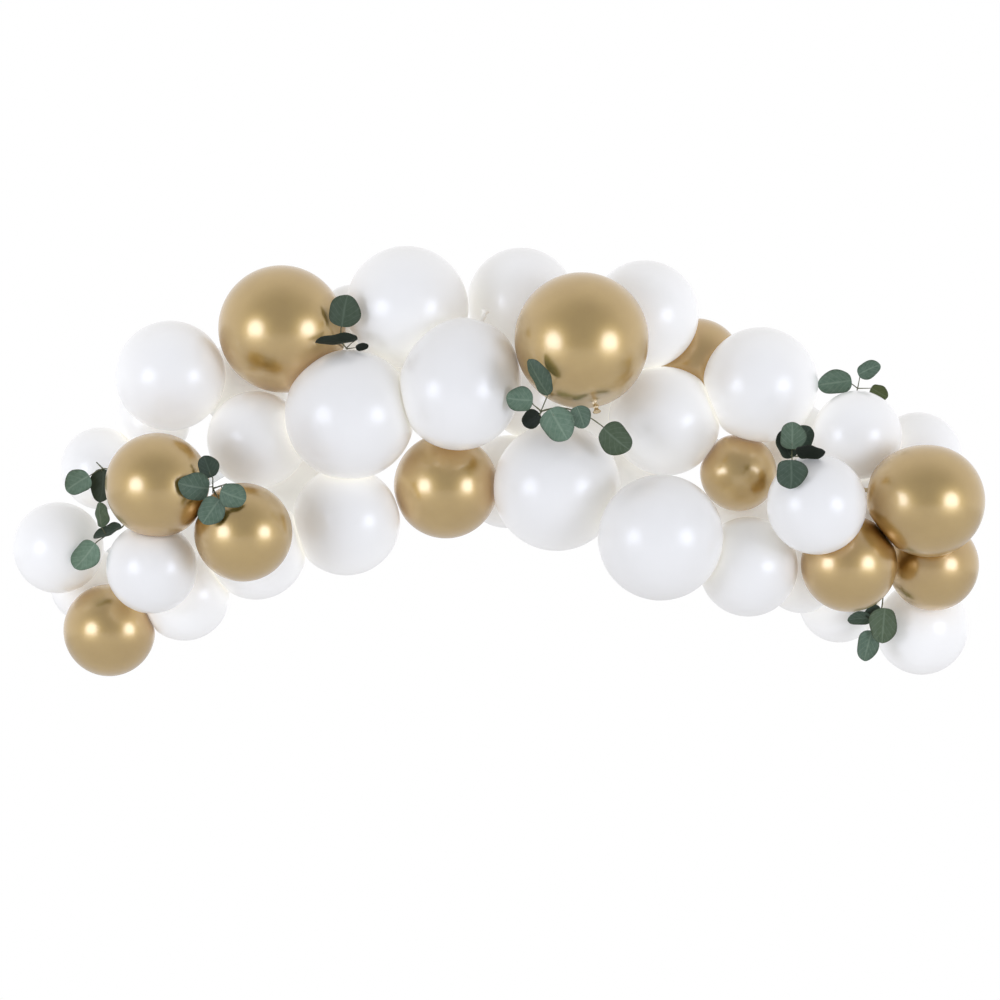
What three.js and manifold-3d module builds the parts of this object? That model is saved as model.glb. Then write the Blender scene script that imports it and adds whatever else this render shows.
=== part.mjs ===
// Balloon garland: white latex and gold satin balloons packed along a curved clear strip,
// with eucalyptus sprigs tucked between them. Millimetres, +Z up, the wall is the plane Y = 0,
// and the front of the garland looks along -Y. The origin is on the back of the strip, at its crown.
import * as THREE from "three";
import Module from "manifold-3d";
import { mergeVertices } from "three/addons/utils/BufferGeometryUtils.js";

const wasm = await Module();
wasm.setup();

// Clear strip, a flat band bent to an arc in its own plane
const ARC_RADIUS = 1175;
const STRIP_LENGTH = 1960;
const STRIP_WIDTH = 20;
const STRIP_THICKNESS = 1;
const STRIP_STEPS = 25;
const NECK_HOLE_RADIUS = 4;
const NECK_HOLE_COUNT = 12;
const HOLE_SEGMENTS = 3;
const EYELET_RADIUS = 2.5;
const EYELET_INSET = 14;

// Balloons
const WALL_CLEARANCE = 1.6;
const WALL_PRESS = 0.95;
const BALLOON_PRESS = 0.9;
const CONTACT_GAP = 0.3;
const KNOT_OFFSET = 6;
const KNOT_RADIUS = 4.5;
const LIP_OFFSET = 21;
const LIP_RADIUS = 8;
const MOUTH_DEPTH = 3;
const NECK_CLEARANCE = 3;
const SHOULDER_CLEARANCE = 2;
const SHOULDER_SPOKES = 8;
const SHOULDER_SHARES = [0.3, 0.6, 0.85];
const PLAIN_STRETCH = 1.04;
const LARGE_RADIUS = 100;
const LARGE_BALLOON = { sides: 11, ringAngles: [32, 63, 94, 132] };
const SMALL_BALLOON = { sides: 10, ringAngles: [36, 70, 104, 136] };
const NECK_TRIALS = 900;
const MERGE_DISTANCE = 0.001;

// Eucalyptus
const STEM_RADIUS = 1.8;
const STEM_SIDES = 4;
const PETIOLE_RADIUS = 1.5;
const PETIOLE_SIDES = 3;
const LEAF_THICKNESS = 1.6;
const LEAF_SIDES = 8;
const LEAF_TIP = 0.12;
const SPRIG_CLEARANCE = 1.2;
const STEM_STEP = 16;
const LEAF_PASSES = 3;
const STALK_REACH = 0.4;
const STALK_STEPS = 2;
const LEAF_SHARES = [0, 0.5, 1];

// The balloons in the order they are tied on, from the wall outwards. along runs on the strip's
// curve from its crown, to the right, and out is the distance from the strip's centre line,
// upwards. neck is where the neck points, if it isn't to the strip, and stretch is how much
// longer than a half ball the neck's half is.
const BALLOONS = [
  { colour: "white", along: -959, out: -14, diameter: 156 },
  { colour: "white", along: 874, out: -141, diameter: 168 },
  { colour: "white", along: 1044, out: -55, diameter: 191 },
  { colour: "white", along: 802, out: 191, diameter: 181 },
  { colour: "white", along: 764, out: -150, diameter: 156 },
  { colour: "white", along: -736, out: -92, diameter: 164 },
  { colour: "white", along: -659, out: 164, diameter: 152 },
  { colour: "white", along: -481, out: 141, diameter: 185 },
  { colour: "white", along: -470, out: -104, diameter: 164 },
  { colour: "white", along: -210, out: 61, diameter: 185 },
  { colour: "white", along: -260, out: 202, diameter: 140 },
  { colour: "white", along: 60, out: 5, diameter: 160 },
  { colour: "white", along: 19, out: -168, diameter: 189 },
  { colour: "white", along: 218, out: 16, diameter: 172 },
  { colour: "white", along: 309, out: -124, diameter: 156 },
  { colour: "white", along: 579, out: -121, diameter: 164 },
  { colour: "white", along: 600, out: 77, diameter: 156 },
  { colour: "white", along: 779, out: 56, diameter: 156 },
  { colour: "gold", along: 370, out: 143, diameter: 181 },
  { colour: "white", along: -786, out: 145, diameter: 168 },
  { colour: "white", along: -817, out: -166, diameter: 187 },
  { colour: "white", along: -612, out: -172, diameter: 209 },
  { colour: "white", along: 647, out: -198, diameter: 203 },
  { colour: "white", along: -162, out: 205, diameter: 250 },
  { colour: "white", along: 39, out: 204, diameter: 222 },
  { colour: "white", along: 256, out: 209, diameter: 222 },
  { colour: "white", along: 492, out: 146, diameter: 236 },
  { colour: "white", along: -592, out: 224, diameter: 226 },
  { colour: "gold", along: -383, out: 221, diameter: 259, stretch: 1.1, neck: [0.2, 0.3, -1] },
  { colour: "white", along: -504, out: 29, diameter: 198, stretch: 1.1, neck: [1, 0.6, -0.2] },
  { colour: "white", along: -384, out: -197, diameter: 222 },
  { colour: "gold", along: -128, out: -171, diameter: 214 },
  { colour: "white", along: -945, out: 82, diameter: 187 },
  { colour: "white", along: 691, out: 151, diameter: 183 },
  { colour: "gold", along: 961, out: 48, diameter: 187 },
  { colour: "gold", along: -999, out: -110, diameter: 189 },
  { colour: "white", along: 417, out: -223, diameter: 257 },
  { colour: "gold", along: 831, out: -71, diameter: 198 },
  { colour: "gold", along: 525, out: -37, diameter: 158 },
  { colour: "white", along: -832, out: -81, diameter: 187 },
  { colour: "white", along: 346, out: 7, diameter: 222, stretch: 1.08, neck: [-0.9, -0.2, 0.5] },
  { colour: "white", along: 139, out: -172, diameter: 261 },
  { colour: "gold", along: -617, out: -131, diameter: 201 },
  { colour: "white", along: -307, out: 10, diameter: 267 },
  { colour: "gold", along: -717, out: 46, diameter: 214 },
  { colour: "white", along: -81, out: 24, diameter: 249, stretch: 1.22, neck: [0, 0.35, 1] },
  { colour: "gold", along: 152, out: 135, diameter: 275, neck: [0.19, -0.36, -0.91] },
  { colour: "white", along: 699, out: -15, diameter: 205 },
  { colour: "gold", along: 868, out: 134, diameter: 230, stretch: 1.15, neck: [-1, 0.2, 0.1] },
];

// The sprigs, from left to right, each lying on one balloon. A stem's points are across, up and
// forward from that balloon's centre. The first stem starts at the root, and each later one on the
// stems before it. A leaf's middle is across and up from the same centre. tip is the way a leaf
// points, anticlockwise from straight right, turn is how far it is turned about its own length and
// nod how far its tip leans forward, all in degrees. back is how far it is set behind the stem.
const SPRIGS = [
  {
    name: "eucalyptus_sprig_left",
    on: "gold_balloon_09",
    stems: [
      [[-58, -25, -114], [-86, 14, -114], [-105, 34, -114], [-123, 30, -114]],
      [[-58, -25, -114], [-62, -62, -114], [-70, -83, -114], [-99, -99, -114], [-123, -115, -114]],
      [[-111, 32, -114], [-126, 47, -114]],
    ],
    leaves: [
      { at: [-163, 4], length: 54, width: 51, tip: 213, turn: 5, nod: 0, back: 0 },
      { at: [-115, 0], length: 66, width: 50, tip: 265, turn: 20, nod: 0, back: 6 },
      { at: [-120, -62], length: 50, width: 46, tip: 95, turn: 54, nod: 0, back: 0 },
      { at: [-101, -99], length: 60, width: 46, tip: 204, turn: 62, nod: 0, back: 0 },
      { at: [-149, -144], length: 64, width: 54, tip: 231, turn: 5, nod: 0, back: 0 },
    ],
  },
  {
    name: "eucalyptus_sprig_left_middle",
    on: "gold_balloon_08",
    stems: [
      [[-62, 87, -50], [-62, 90, 30], [-62, 112, 40]],
      [[-62, 90, 30], [-33, 100, 45]],
      [[-62, 90, 30], [-52, 73, 40]],
    ],
    leaves: [
      { at: [-73, 134], length: 45, width: 44, tip: 110, turn: 10, nod: 0, back: 0 },
      { at: [-102, 97], length: 72, width: 58, tip: 170, turn: 0, nod: 32, back: 0 },
      { at: [-21, 77], length: 54, width: 52, tip: 340, turn: 0, nod: -10, back: 0 },
      { at: [-64, 44], length: 58, width: 54, tip: 235, turn: 0, nod: 0, back: 0 },
    ],
  },
  {
    name: "eucalyptus_sprig_upper_left",
    on: "gold_balloon_02",
    stems: [[[135, -42, -18], [128, -34, 16], [123, -24, 56], [123, 0, 76]]],
    leaves: [
      { at: [131, 34], length: 64, width: 66, tip: 80, turn: 5, nod: 0, back: 0 },
      { at: [116, -30], length: 84, width: 56, tip: 185, turn: 68, nod: 0, back: 0 },
      { at: [166, -38], length: 26, width: 16, tip: 10, turn: 0, nod: 0, back: 0 },
    ],
  },
  {
    name: "eucalyptus_sprig_centre",
    on: "gold_balloon_10",
    stems: [
      [[-83, -149, -68], [-83, -147, 32], [-70, -116, 62]],
      [[-83, -147, 32], [-99, -134, 52]],
      [[-83, -147, 32], [-44, -140, 52], [14, -159, 42], [40, -176, 12]],
    ],
    leaves: [
      { at: [-91, -81], length: 80, width: 56, tip: 119, turn: 48, nod: 0, back: 0 },
      { at: [-126, -122], length: 53, width: 52, tip: 175, turn: 5, nod: 0, back: 0 },
      { at: [-101, -163], length: 42, width: 38, tip: 215, turn: 0, nod: -20, back: 8 },
      { at: [-47, -173], length: 70, width: 68, tip: 300, turn: 5, nod: 0, back: -4 },
      { at: [-3, -159], length: 46, width: 42, tip: 290, turn: 0, nod: 0, back: 4 },
      { at: [71, -202], length: 68, width: 64, tip: 320, turn: 5, nod: 0, back: 0 },
    ],
  },
  {
    name: "eucalyptus_sprig_right_middle",
    on: "white_balloon_38",
    stems: [[[-32, 99, -86], [-48, 101, -31], [-51, 113, 4], [-51, 91, 44]]],
    leaves: [
      { at: [-51, 140], length: 54, width: 54, tip: 90, turn: 5, nod: 0, back: 0 },
      { at: [-63, 122], length: 58, width: 50, tip: 110, turn: 30, nod: 0, back: 18 },
      { at: [-30, 138], length: 50, width: 48, tip: 50, turn: 0, nod: 0, back: 12 },
      { at: [-14, 113], length: 58, width: 54, tip: 355, turn: 58, nod: 0, back: 0 },
      { at: [-55, 62], length: 58, width: 64, tip: 270, turn: 0, nod: 10, back: 0 },
    ],
  },
  {
    name: "eucalyptus_sprig_top_right",
    on: "white_balloon_31",
    stems: [[[-1, 56, -113], [-1, 76, -95], [0, 91, -65], [1, 96, -33]]],
    leaves: [
      { at: [-45, 107], length: 68, width: 50, tip: 188, turn: 5, nod: 0, back: 0 },
      { at: [24, 134], length: 48, width: 36, tip: 25, turn: 5, nod: 0, back: 0 },
      { at: [46, 89], length: 38, width: 36, tip: 330, turn: 20, nod: 0, back: 30 },
    ],
  },
  {
    name: "eucalyptus_sprig_bottom_right",
    on: "gold_balloon_04",
    stems: [
      [[-102, -26, -10], [-104, -55, -10], [-104, -68, -10], [-106, -86, -10], [-124, -137, -10]],
      [[-104, -55, -10], [-116, -76, -10], [-122, -88, -10]],
    ],
    leaves: [
      { at: [-151, -111], length: 48, width: 28, tip: 185, turn: 0, nod: 0, back: 0 },
      { at: [-124, -96], length: 34, width: 30, tip: 200, turn: 0, nod: 0, back: 0 },
      { at: [-102, -123], length: 70, width: 58, tip: 265, turn: 5, nod: 0, back: -5 },
      { at: [-133, -165], length: 62, width: 45, tip: 255, turn: 5, nod: 0, back: 0 },
    ],
  },
];

const WHITE_LATEX = { color: 0xe8e6e2, roughness: 0.32, metalness: 0 };
const GOLD_SATIN = { color: 0xb89862, roughness: 0.22, metalness: 0.95 };
const EUCALYPTUS = { color: 0x64826f, roughness: 0.65, metalness: 0 };
const CLEAR_FILM = { color: 0xeef2f2, roughness: 0.2, metalness: 0, transparent: true, opacity: 0.35 };

function namedMesh(name, geometry, look) {
  const mesh = new THREE.Mesh(geometry, new THREE.MeshStandardMaterial(look));
  mesh.name = name;
  return mesh;
}

// A closed geometry as a solid that can be joined, its shared vertices merged
function solidOf(geometry) {
  const bare = geometry.clone();
  bare.deleteAttribute("normal");
  bare.deleteAttribute("uv");
  const merged = mergeVertices(bare, MERGE_DISTANCE);
  return new wasm.Manifold(new wasm.Mesh({
    numProp: 3,
    vertProperties: new Float32Array(merged.attributes.position.array),
    triVerts: new Uint32Array(merged.index.array),
  }));
}

function geometryOf(solid) {
  const mesh = solid.getMesh();
  const geometry = new THREE.BufferGeometry();
  geometry.setAttribute("position", new THREE.BufferAttribute(mesh.vertProperties, 3));
  geometry.setIndex(new THREE.BufferAttribute(mesh.triVerts, 1));
  geometry.computeVertexNormals();
  return geometry;
}

// A place on the strip's curve, in the wall plane
function onArc(along, out) {
  const angle = along / ARC_RADIUS;
  const reach = ARC_RADIUS + out;
  return new THREE.Vector2(reach * Math.sin(angle), reach * Math.cos(angle) - ARC_RADIUS);
}

// The strip is drawn flat in its plane and extruded through its thickness
function stripMesh() {
  const half = STRIP_LENGTH / 2;
  const outline = [];
  for (let i = 0; i <= STRIP_STEPS; i += 1) {
    outline.push(onArc(-half + (STRIP_LENGTH * i) / STRIP_STEPS, -STRIP_WIDTH / 2));
  }
  for (let i = STRIP_STEPS; i >= 0; i -= 1) {
    outline.push(onArc(-half + (STRIP_LENGTH * i) / STRIP_STEPS, STRIP_WIDTH / 2));
  }
  const shape = new THREE.Shape(outline);
  const pitch = (STRIP_LENGTH - 2 * EYELET_INSET) / (NECK_HOLE_COUNT + 1);
  const holes = [[-half + EYELET_INSET, EYELET_RADIUS], [half - EYELET_INSET, EYELET_RADIUS]];
  for (let i = 1; i <= NECK_HOLE_COUNT; i += 1) {
    holes.push([-half + EYELET_INSET + pitch * i, NECK_HOLE_RADIUS]);
  }
  for (const [along, radius] of holes) {
    const centre = onArc(along, 0);
    const hole = new THREE.Path();
    hole.absarc(centre.x, centre.y, radius, 0, 2 * Math.PI, true);
    shape.holes.push(hole);
  }
  const geometry = new THREE.ExtrudeGeometry(shape, {
    depth: STRIP_THICKNESS,
    bevelEnabled: false,
    curveSegments: HOLE_SEGMENTS,
  });
  geometry.rotateX(Math.PI / 2);
  return namedMesh("garland_strip", geometry, CLEAR_FILM);
}

// Each balloon is pushed in from the front until it meets the wall or the balloons behind it
function settle(rows) {
  const placed = [];
  const counts = { white: 0, gold: 0 };
  for (const row of rows) {
    const radius = row.diameter / 2;
    const flat = onArc(row.along, row.out);
    let y = -(WALL_CLEARANCE + WALL_PRESS * radius);
    for (const other of placed) {
      const across = Math.hypot(flat.x - other.centre.x, flat.y - other.centre.z);
      const reach = BALLOON_PRESS * (radius + other.radius);
      if (across < reach) {
        y = Math.min(y, other.centre.y - Math.sqrt(reach ** 2 - across ** 2));
      }
    }
    counts[row.colour] += 1;
    placed.push({
      name: `${row.colour}_balloon_${String(counts[row.colour]).padStart(2, "0")}`,
      colour: row.colour,
      radius,
      stretch: row.stretch ?? PLAIN_STRETCH,
      centre: new THREE.Vector3(flat.x, y, flat.y),
      aim: neckAim(row, flat, y),
      stated: Boolean(row.neck),
      axis: null,
      tail: [],
      shoulder: [],
    });
  }
  return placed;
}

// The way a neck would point by itself: as stated, or to the strip behind
function neckAim(row, flat, y) {
  if (row.neck) {
    return new THREE.Vector3(...row.neck).normalize();
  }
  const strip = onArc(row.along, 0);
  return new THREE.Vector3(strip.x - flat.x, -y, strip.y - flat.y).normalize();
}

// The facets that a balloon is turned with
function balloonSteps(balloon) {
  return balloon.radius > LARGE_RADIUS ? LARGE_BALLOON : SMALL_BALLOON;
}

// Distance from a balloon's centre to its skin, knot and lip left out, along a unit direction
function skinDistance(balloon, direction, axis) {
  if (!axis) {
    return balloon.radius;
  }
  const cosine = direction.dot(axis);
  if (cosine <= 0) {
    return balloon.radius;
  }
  const sineSquared = 1 - cosine ** 2;
  return balloon.radius / Math.sqrt((cosine / balloon.stretch) ** 2 + sineSquared);
}

// How far a point is outside a balloon's skin
function outside(balloon, point, axis) {
  const reach = point.clone().sub(balloon.centre);
  const distance = reach.length();
  return distance - skinDistance(balloon, reach.divideScalar(distance), axis);
}

// Points down the middle of a neck, from the knot to the lip
function tailPoints(balloon, axis) {
  const start = balloon.radius * balloon.stretch;
  return [KNOT_OFFSET, (KNOT_OFFSET + LIP_OFFSET) / 2, LIP_OFFSET].map(
    (offset) => balloon.centre.clone().addScaledVector(axis, start + offset),
  );
}

// Points round the cone in which a balloon narrows to its knot
function shoulderPoints(balloon, axis) {
  const { ringAngles } = balloonSteps(balloon);
  const angle = THREE.MathUtils.degToRad(ringAngles[ringAngles.length - 1]);
  const rim = {
    height: -balloon.radius * balloon.stretch * Math.cos(angle),
    radius: balloon.radius * Math.sin(angle),
  };
  const knotHeight = balloon.radius * balloon.stretch + KNOT_OFFSET;
  const turn = new THREE.Quaternion().setFromUnitVectors(new THREE.Vector3(0, 1, 0), axis);
  const points = [];
  for (const share of SHOULDER_SHARES) {
    const height = THREE.MathUtils.lerp(rim.height, knotHeight, share);
    const radius = THREE.MathUtils.lerp(rim.radius, KNOT_RADIUS, share);
    for (let i = 0; i < SHOULDER_SPOKES; i += 1) {
      const spoke = (2 * Math.PI * i) / SHOULDER_SPOKES;
      const point = new THREE.Vector3(radius * Math.cos(spoke), height, radius * Math.sin(spoke));
      points.push(point.applyQuaternion(turn).add(balloon.centre));
    }
  }
  return points;
}

// The flat face at which a balloon would meet another, from its own centre
function contactPlane(balloon, other) {
  const between = other.centre.clone().sub(balloon.centre);
  const distance = between.length();
  const reach = (distance ** 2 + balloon.radius ** 2 - other.radius ** 2) / (2 * distance);
  return { normal: between.divideScalar(distance), reach: reach - CONTACT_GAP / 2 };
}

// True if a balloon's shoulder, where it leans past the contact face, stays off the other's skin
function shoulderIsClear(balloon, points, other, otherAxis) {
  const { normal, reach } = contactPlane(balloon, other);
  return points.every((point) => {
    const beyond = point.clone().sub(balloon.centre).dot(normal) > reach;
    return !beyond || outside(other, point, otherAxis) > SHOULDER_CLEARANCE;
  });
}

function neckIsClear(balloon, axis, balloons) {
  const room = LIP_RADIUS + NECK_CLEARANCE;
  const tail = tailPoints(balloon, axis);
  const shoulder = shoulderPoints(balloon, axis);
  const wall = -(WALL_CLEARANCE + SHOULDER_CLEARANCE);
  if (tail.some((point) => point.y > wall - room) || shoulder.some((point) => point.y > wall)) {
    return false;
  }
  for (const other of balloons) {
    if (other === balloon) {
      continue;
    }
    if (tail.some((point) => outside(other, point, other.axis) < room)) {
      return false;
    }
    for (const point of other.tail) {
      const near = tail.some((own) => own.distanceTo(point) < room + LIP_RADIUS);
      if (near || outside(balloon, point, axis) < room) {
        return false;
      }
    }
    const clear = shoulderIsClear(balloon, shoulder, other, other.axis);
    if (!clear || !shoulderIsClear(other, other.shoulder, balloon, axis)) {
      return false;
    }
  }
  return true;
}

// Evenly spread unit directions, on a spiral round a ball
function spreadDirections(count) {
  const golden = Math.PI * (3 - Math.sqrt(5));
  const directions = [];
  for (let i = 0; i < count; i += 1) {
    const height = 1 - (2 * (i + 0.5)) / count;
    const ring = Math.sqrt(1 - height ** 2);
    directions.push(new THREE.Vector3(ring * Math.cos(golden * i), ring * Math.sin(golden * i), height));
  }
  return directions;
}

// True if a balloon, its own or another, hides the whole neck from the front
function neckIsTucked(balloon, axis, balloons) {
  return tailPoints(balloon, axis).every((point) =>
    balloons.some(({ centre, radius }) => {
      const across = Math.hypot(point.x - centre.x, point.z - centre.z);
      return centre.y < point.y && across < radius - LIP_RADIUS;
    }),
  );
}

// Each neck takes the free way out that is nearest to where it would point by itself. Unless it
// is stated where a neck points, one that is hidden from the front comes first.
function aimNecks(balloons) {
  const directions = spreadDirections(NECK_TRIALS);
  for (const balloon of balloons) {
    const byAim = [balloon.aim, ...directions].sort((a, b) => b.dot(balloon.aim) - a.dot(balloon.aim));
    const clear = byAim.filter((axis) => neckIsClear(balloon, axis, balloons));
    const tucked = clear.find((axis) => balloon.stated || neckIsTucked(balloon, axis, balloons));
    balloon.axis = tucked ?? clear[0] ?? balloon.aim;
    balloon.tail = tailPoints(balloon, balloon.axis);
    balloon.shoulder = shoulderPoints(balloon, balloon.axis);
  }
}

// The flat faces at which a balloon meets its neighbours and the wall, from its own centre
function contactPlanes(balloon, balloons) {
  const wall = { normal: new THREE.Vector3(0, 1, 0), reach: -balloon.centre.y - WALL_CLEARANCE };
  const planes = [wall];
  for (const other of balloons) {
    if (other === balloon) {
      continue;
    }
    planes.push(contactPlane(balloon, other));
  }
  return planes;
}

// Turned about its axis from the far pole to the lip, then pressed flat where it meets others,
// with the rows of the knot and the lip left as they are
function balloonMesh(balloon, balloons) {
  const { sides, ringAngles } = balloonSteps(balloon);
  const profile = [new THREE.Vector2(0, -balloon.radius)];
  for (const degrees of ringAngles) {
    const angle = THREE.MathUtils.degToRad(degrees);
    const stretch = degrees > 90 ? balloon.stretch : 1;
    profile.push(new THREE.Vector2(
      balloon.radius * Math.sin(angle),
      -balloon.radius * Math.cos(angle) * stretch,
    ));
  }
  const domeRows = profile.length;
  const start = balloon.radius * balloon.stretch;
  profile.push(new THREE.Vector2(KNOT_RADIUS, start + KNOT_OFFSET));
  profile.push(new THREE.Vector2(LIP_RADIUS, start + LIP_OFFSET));
  profile.push(new THREE.Vector2(0, start + LIP_OFFSET - MOUTH_DEPTH));
  const geometry = new THREE.LatheGeometry(profile, sides);
  const turn = new THREE.Quaternion().setFromUnitVectors(new THREE.Vector3(0, 1, 0), balloon.axis);
  geometry.applyQuaternion(turn);
  const planes = contactPlanes(balloon, balloons);
  const position = geometry.attributes.position;
  const vertex = new THREE.Vector3();
  for (let i = 0; i < position.count; i += 1) {
    if (i % profile.length >= domeRows) {
      continue;
    }
    vertex.fromBufferAttribute(position, i);
    let share = 1;
    for (const { normal, reach } of planes) {
      const beyond = vertex.dot(normal);
      if (beyond > reach) {
        share = Math.min(share, reach / beyond);
      }
    }
    vertex.multiplyScalar(share);
    position.setXYZ(i, vertex.x, vertex.y, vertex.z);
  }
  const mesh = namedMesh(balloon.name, geometry, balloon.colour === "gold" ? GOLD_SATIN : WHITE_LATEX);
  mesh.position.copy(balloon.centre);
  return mesh;
}

// The balls that a sprig keeps clear of: every balloon, and its neck as a row of small balls
function obstacles(balloons) {
  const balls = balloons.map(({ centre, radius }) => ({ centre, radius }));
  for (const balloon of balloons) {
    const middle = balloon.centre.clone().addScaledVector(
      balloon.axis,
      balloon.radius * (balloon.stretch - 1),
    );
    balls.push({ centre: middle, radius: balloon.radius });
    for (const point of balloon.tail) {
      balls.push({ centre: point, radius: LIP_RADIUS });
    }
  }
  return balls;
}

// The depth at which a point lies clear of the balls: its own, or in front of each ball it is in
function clearDepth(x, y, z, clearance, balls) {
  const spans = [];
  for (const ball of balls) {
    const radius = ball.radius + clearance;
    const across = Math.hypot(x - ball.centre.x, z - ball.centre.z);
    if (across < radius) {
      const half = Math.sqrt(radius ** 2 - across ** 2);
      spans.push([ball.centre.y - half, ball.centre.y + half]);
    }
  }
  spans.sort((a, b) => b[1] - a[1]);
  let depth = y;
  for (const [front, back] of spans) {
    if (depth > front && depth < back) {
      depth = front;
    }
  }
  return depth;
}

// The point of a list that is nearest to a place, seen from the front
function nearestSeen(points, place) {
  const seen = (point) => Math.hypot(point.x - place.x, point.z - place.z);
  return points.reduce((best, point) => (seen(point) < seen(best) ? point : best));
}

// A stem's points in space, evenly spaced and each clear of the balloons, from the root or from
// the nearest joint of the stems before it
function stemPath(stem, home, joints, balls) {
  const clearance = STEM_RADIUS + SPRIG_CLEARANCE;
  const corners = stem.map(([across, up, forward]) => new THREE.Vector3(across, -forward, up).add(home));
  const route = new THREE.CatmullRomCurve3(corners, false, "chordal");
  const points = route.getSpacedPoints(Math.max(2, Math.round(route.getLength() / STEM_STEP)));
  for (const point of points) {
    point.y = clearDepth(point.x, point.y, point.z, clearance, balls);
  }
  if (joints.length > 0) {
    points[0] = nearestSeen(joints, points[0]);
  }
  return new THREE.CatmullRomCurve3(points, false, "chordal").getSpacedPoints(points.length - 1);
}

// A round rod along a path, with flat ends
function rodSolid(path, radius, sides) {
  const corners = [];
  for (let i = 0; i < sides; i += 1) {
    const angle = (2 * Math.PI * i) / sides;
    corners.push(new THREE.Vector2(radius * Math.cos(angle), radius * Math.sin(angle)));
  }
  const geometry = new THREE.ExtrudeGeometry(new THREE.Shape(corners), {
    steps: path.length - 1,
    extrudePath: new THREE.CatmullRomCurve3(path, false, "chordal"),
    bevelEnabled: false,
  });
  return solidOf(geometry);
}

// A leaf's outline: an ellipse drawn out to a low point at its tip
function leafOutline(leaf) {
  const points = [];
  for (let i = 0; i < LEAF_SIDES; i += 1) {
    const angle = (2 * Math.PI * i) / LEAF_SIDES;
    const reach = i === 0 ? 1 + LEAF_TIP : 1;
    const along = (leaf.length / 2) * reach * Math.cos(angle);
    points.push(new THREE.Vector2(along, (leaf.width / 2) * Math.sin(angle)));
  }
  return points;
}

// How a leaf is turned: facing forward with its tip where it points, nodded, then rolled
function leafTurn(leaf) {
  const radians = THREE.MathUtils.degToRad;
  const facing = new THREE.Quaternion().setFromAxisAngle(new THREE.Vector3(1, 0, 0), Math.PI / 2);
  const swing = new THREE.Quaternion().setFromAxisAngle(new THREE.Vector3(0, -1, 0), radians(leaf.tip));
  const nod = new THREE.Quaternion().setFromAxisAngle(new THREE.Vector3(0, -1, 0), radians(leaf.nod));
  const roll = new THREE.Quaternion().setFromAxisAngle(new THREE.Vector3(1, 0, 0), radians(leaf.turn));
  return swing.multiply(facing).multiply(nod).multiply(roll);
}

// A flat leaf at the depth where all of it is clear of the balloons, on its own stalk
function leafSolid(leaf, home, joints, balls) {
  const turn = leafTurn(leaf);
  const middle = new THREE.Vector3(home.x + leaf.at[0], 0, home.z + leaf.at[1]);
  const outline = leafOutline(leaf);
  const base = new THREE.Vector3(-leaf.length * STALK_REACH, 0, LEAF_THICKNESS / 2).applyQuaternion(turn);
  base.add(middle);
  const joint = nearestSeen(joints, base);
  const clearance = LEAF_THICKNESS + SPRIG_CLEARANCE;
  let depth = joint.y + leaf.back;
  for (let pass = 0; pass < LEAF_PASSES; pass += 1) {
    for (const point of outline) {
      for (const share of LEAF_SHARES) {
        const spot = new THREE.Vector3(point.x * share, point.y * share, 0).applyQuaternion(turn);
        const [x, z] = [middle.x + spot.x, middle.z + spot.z];
        depth = Math.min(depth, clearDepth(x, depth + spot.y, z, clearance, balls) - spot.y);
      }
    }
  }
  const plate = new THREE.ExtrudeGeometry(new THREE.Shape(outline), {
    depth: LEAF_THICKNESS,
    bevelEnabled: false,
  });
  plate.applyQuaternion(turn);
  plate.translate(middle.x, depth, middle.z);
  base.y += depth;
  const stalk = [];
  for (let k = 0; k <= STALK_STEPS; k += 1) {
    const point = joint.clone().lerp(base, k / STALK_STEPS);
    const room = PETIOLE_RADIUS + SPRIG_CLEARANCE;
    stalk.push(point.setY(clearDepth(point.x, point.y, point.z, room, balls)));
  }
  stalk[STALK_STEPS].y = base.y;
  return solidOf(plate).add(rodSolid(stalk, PETIOLE_RADIUS, PETIOLE_SIDES));
}

function sprigMesh(sprig, balloons, balls) {
  const home = balloons.find(({ name }) => name === sprig.on).centre;
  const joints = [];
  const pieces = [];
  for (const stem of sprig.stems) {
    const path = stemPath(stem, home, joints, balls);
    joints.push(...path);
    pieces.push(rodSolid(path, STEM_RADIUS, STEM_SIDES));
  }
  for (const leaf of sprig.leaves) {
    pieces.push(leafSolid(leaf, home, joints, balls));
  }
  const solid = pieces.reduce((joined, piece) => joined.add(piece));
  return namedMesh(sprig.name, geometryOf(solid), EUCALYPTUS);
}

function balloonGarland() {
  const garland = new THREE.Group();
  garland.add(stripMesh());
  const balloons = settle(BALLOONS);
  aimNecks(balloons);
  for (const balloon of balloons) {
    garland.add(balloonMesh(balloon, balloons));
  }
  const balls = obstacles(balloons);
  for (const sprig of SPRIGS) {
    garland.add(sprigMesh(sprig, balloons, balls));
  }
  return garland;
}

export default balloonGarland();
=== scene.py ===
import math

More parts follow.
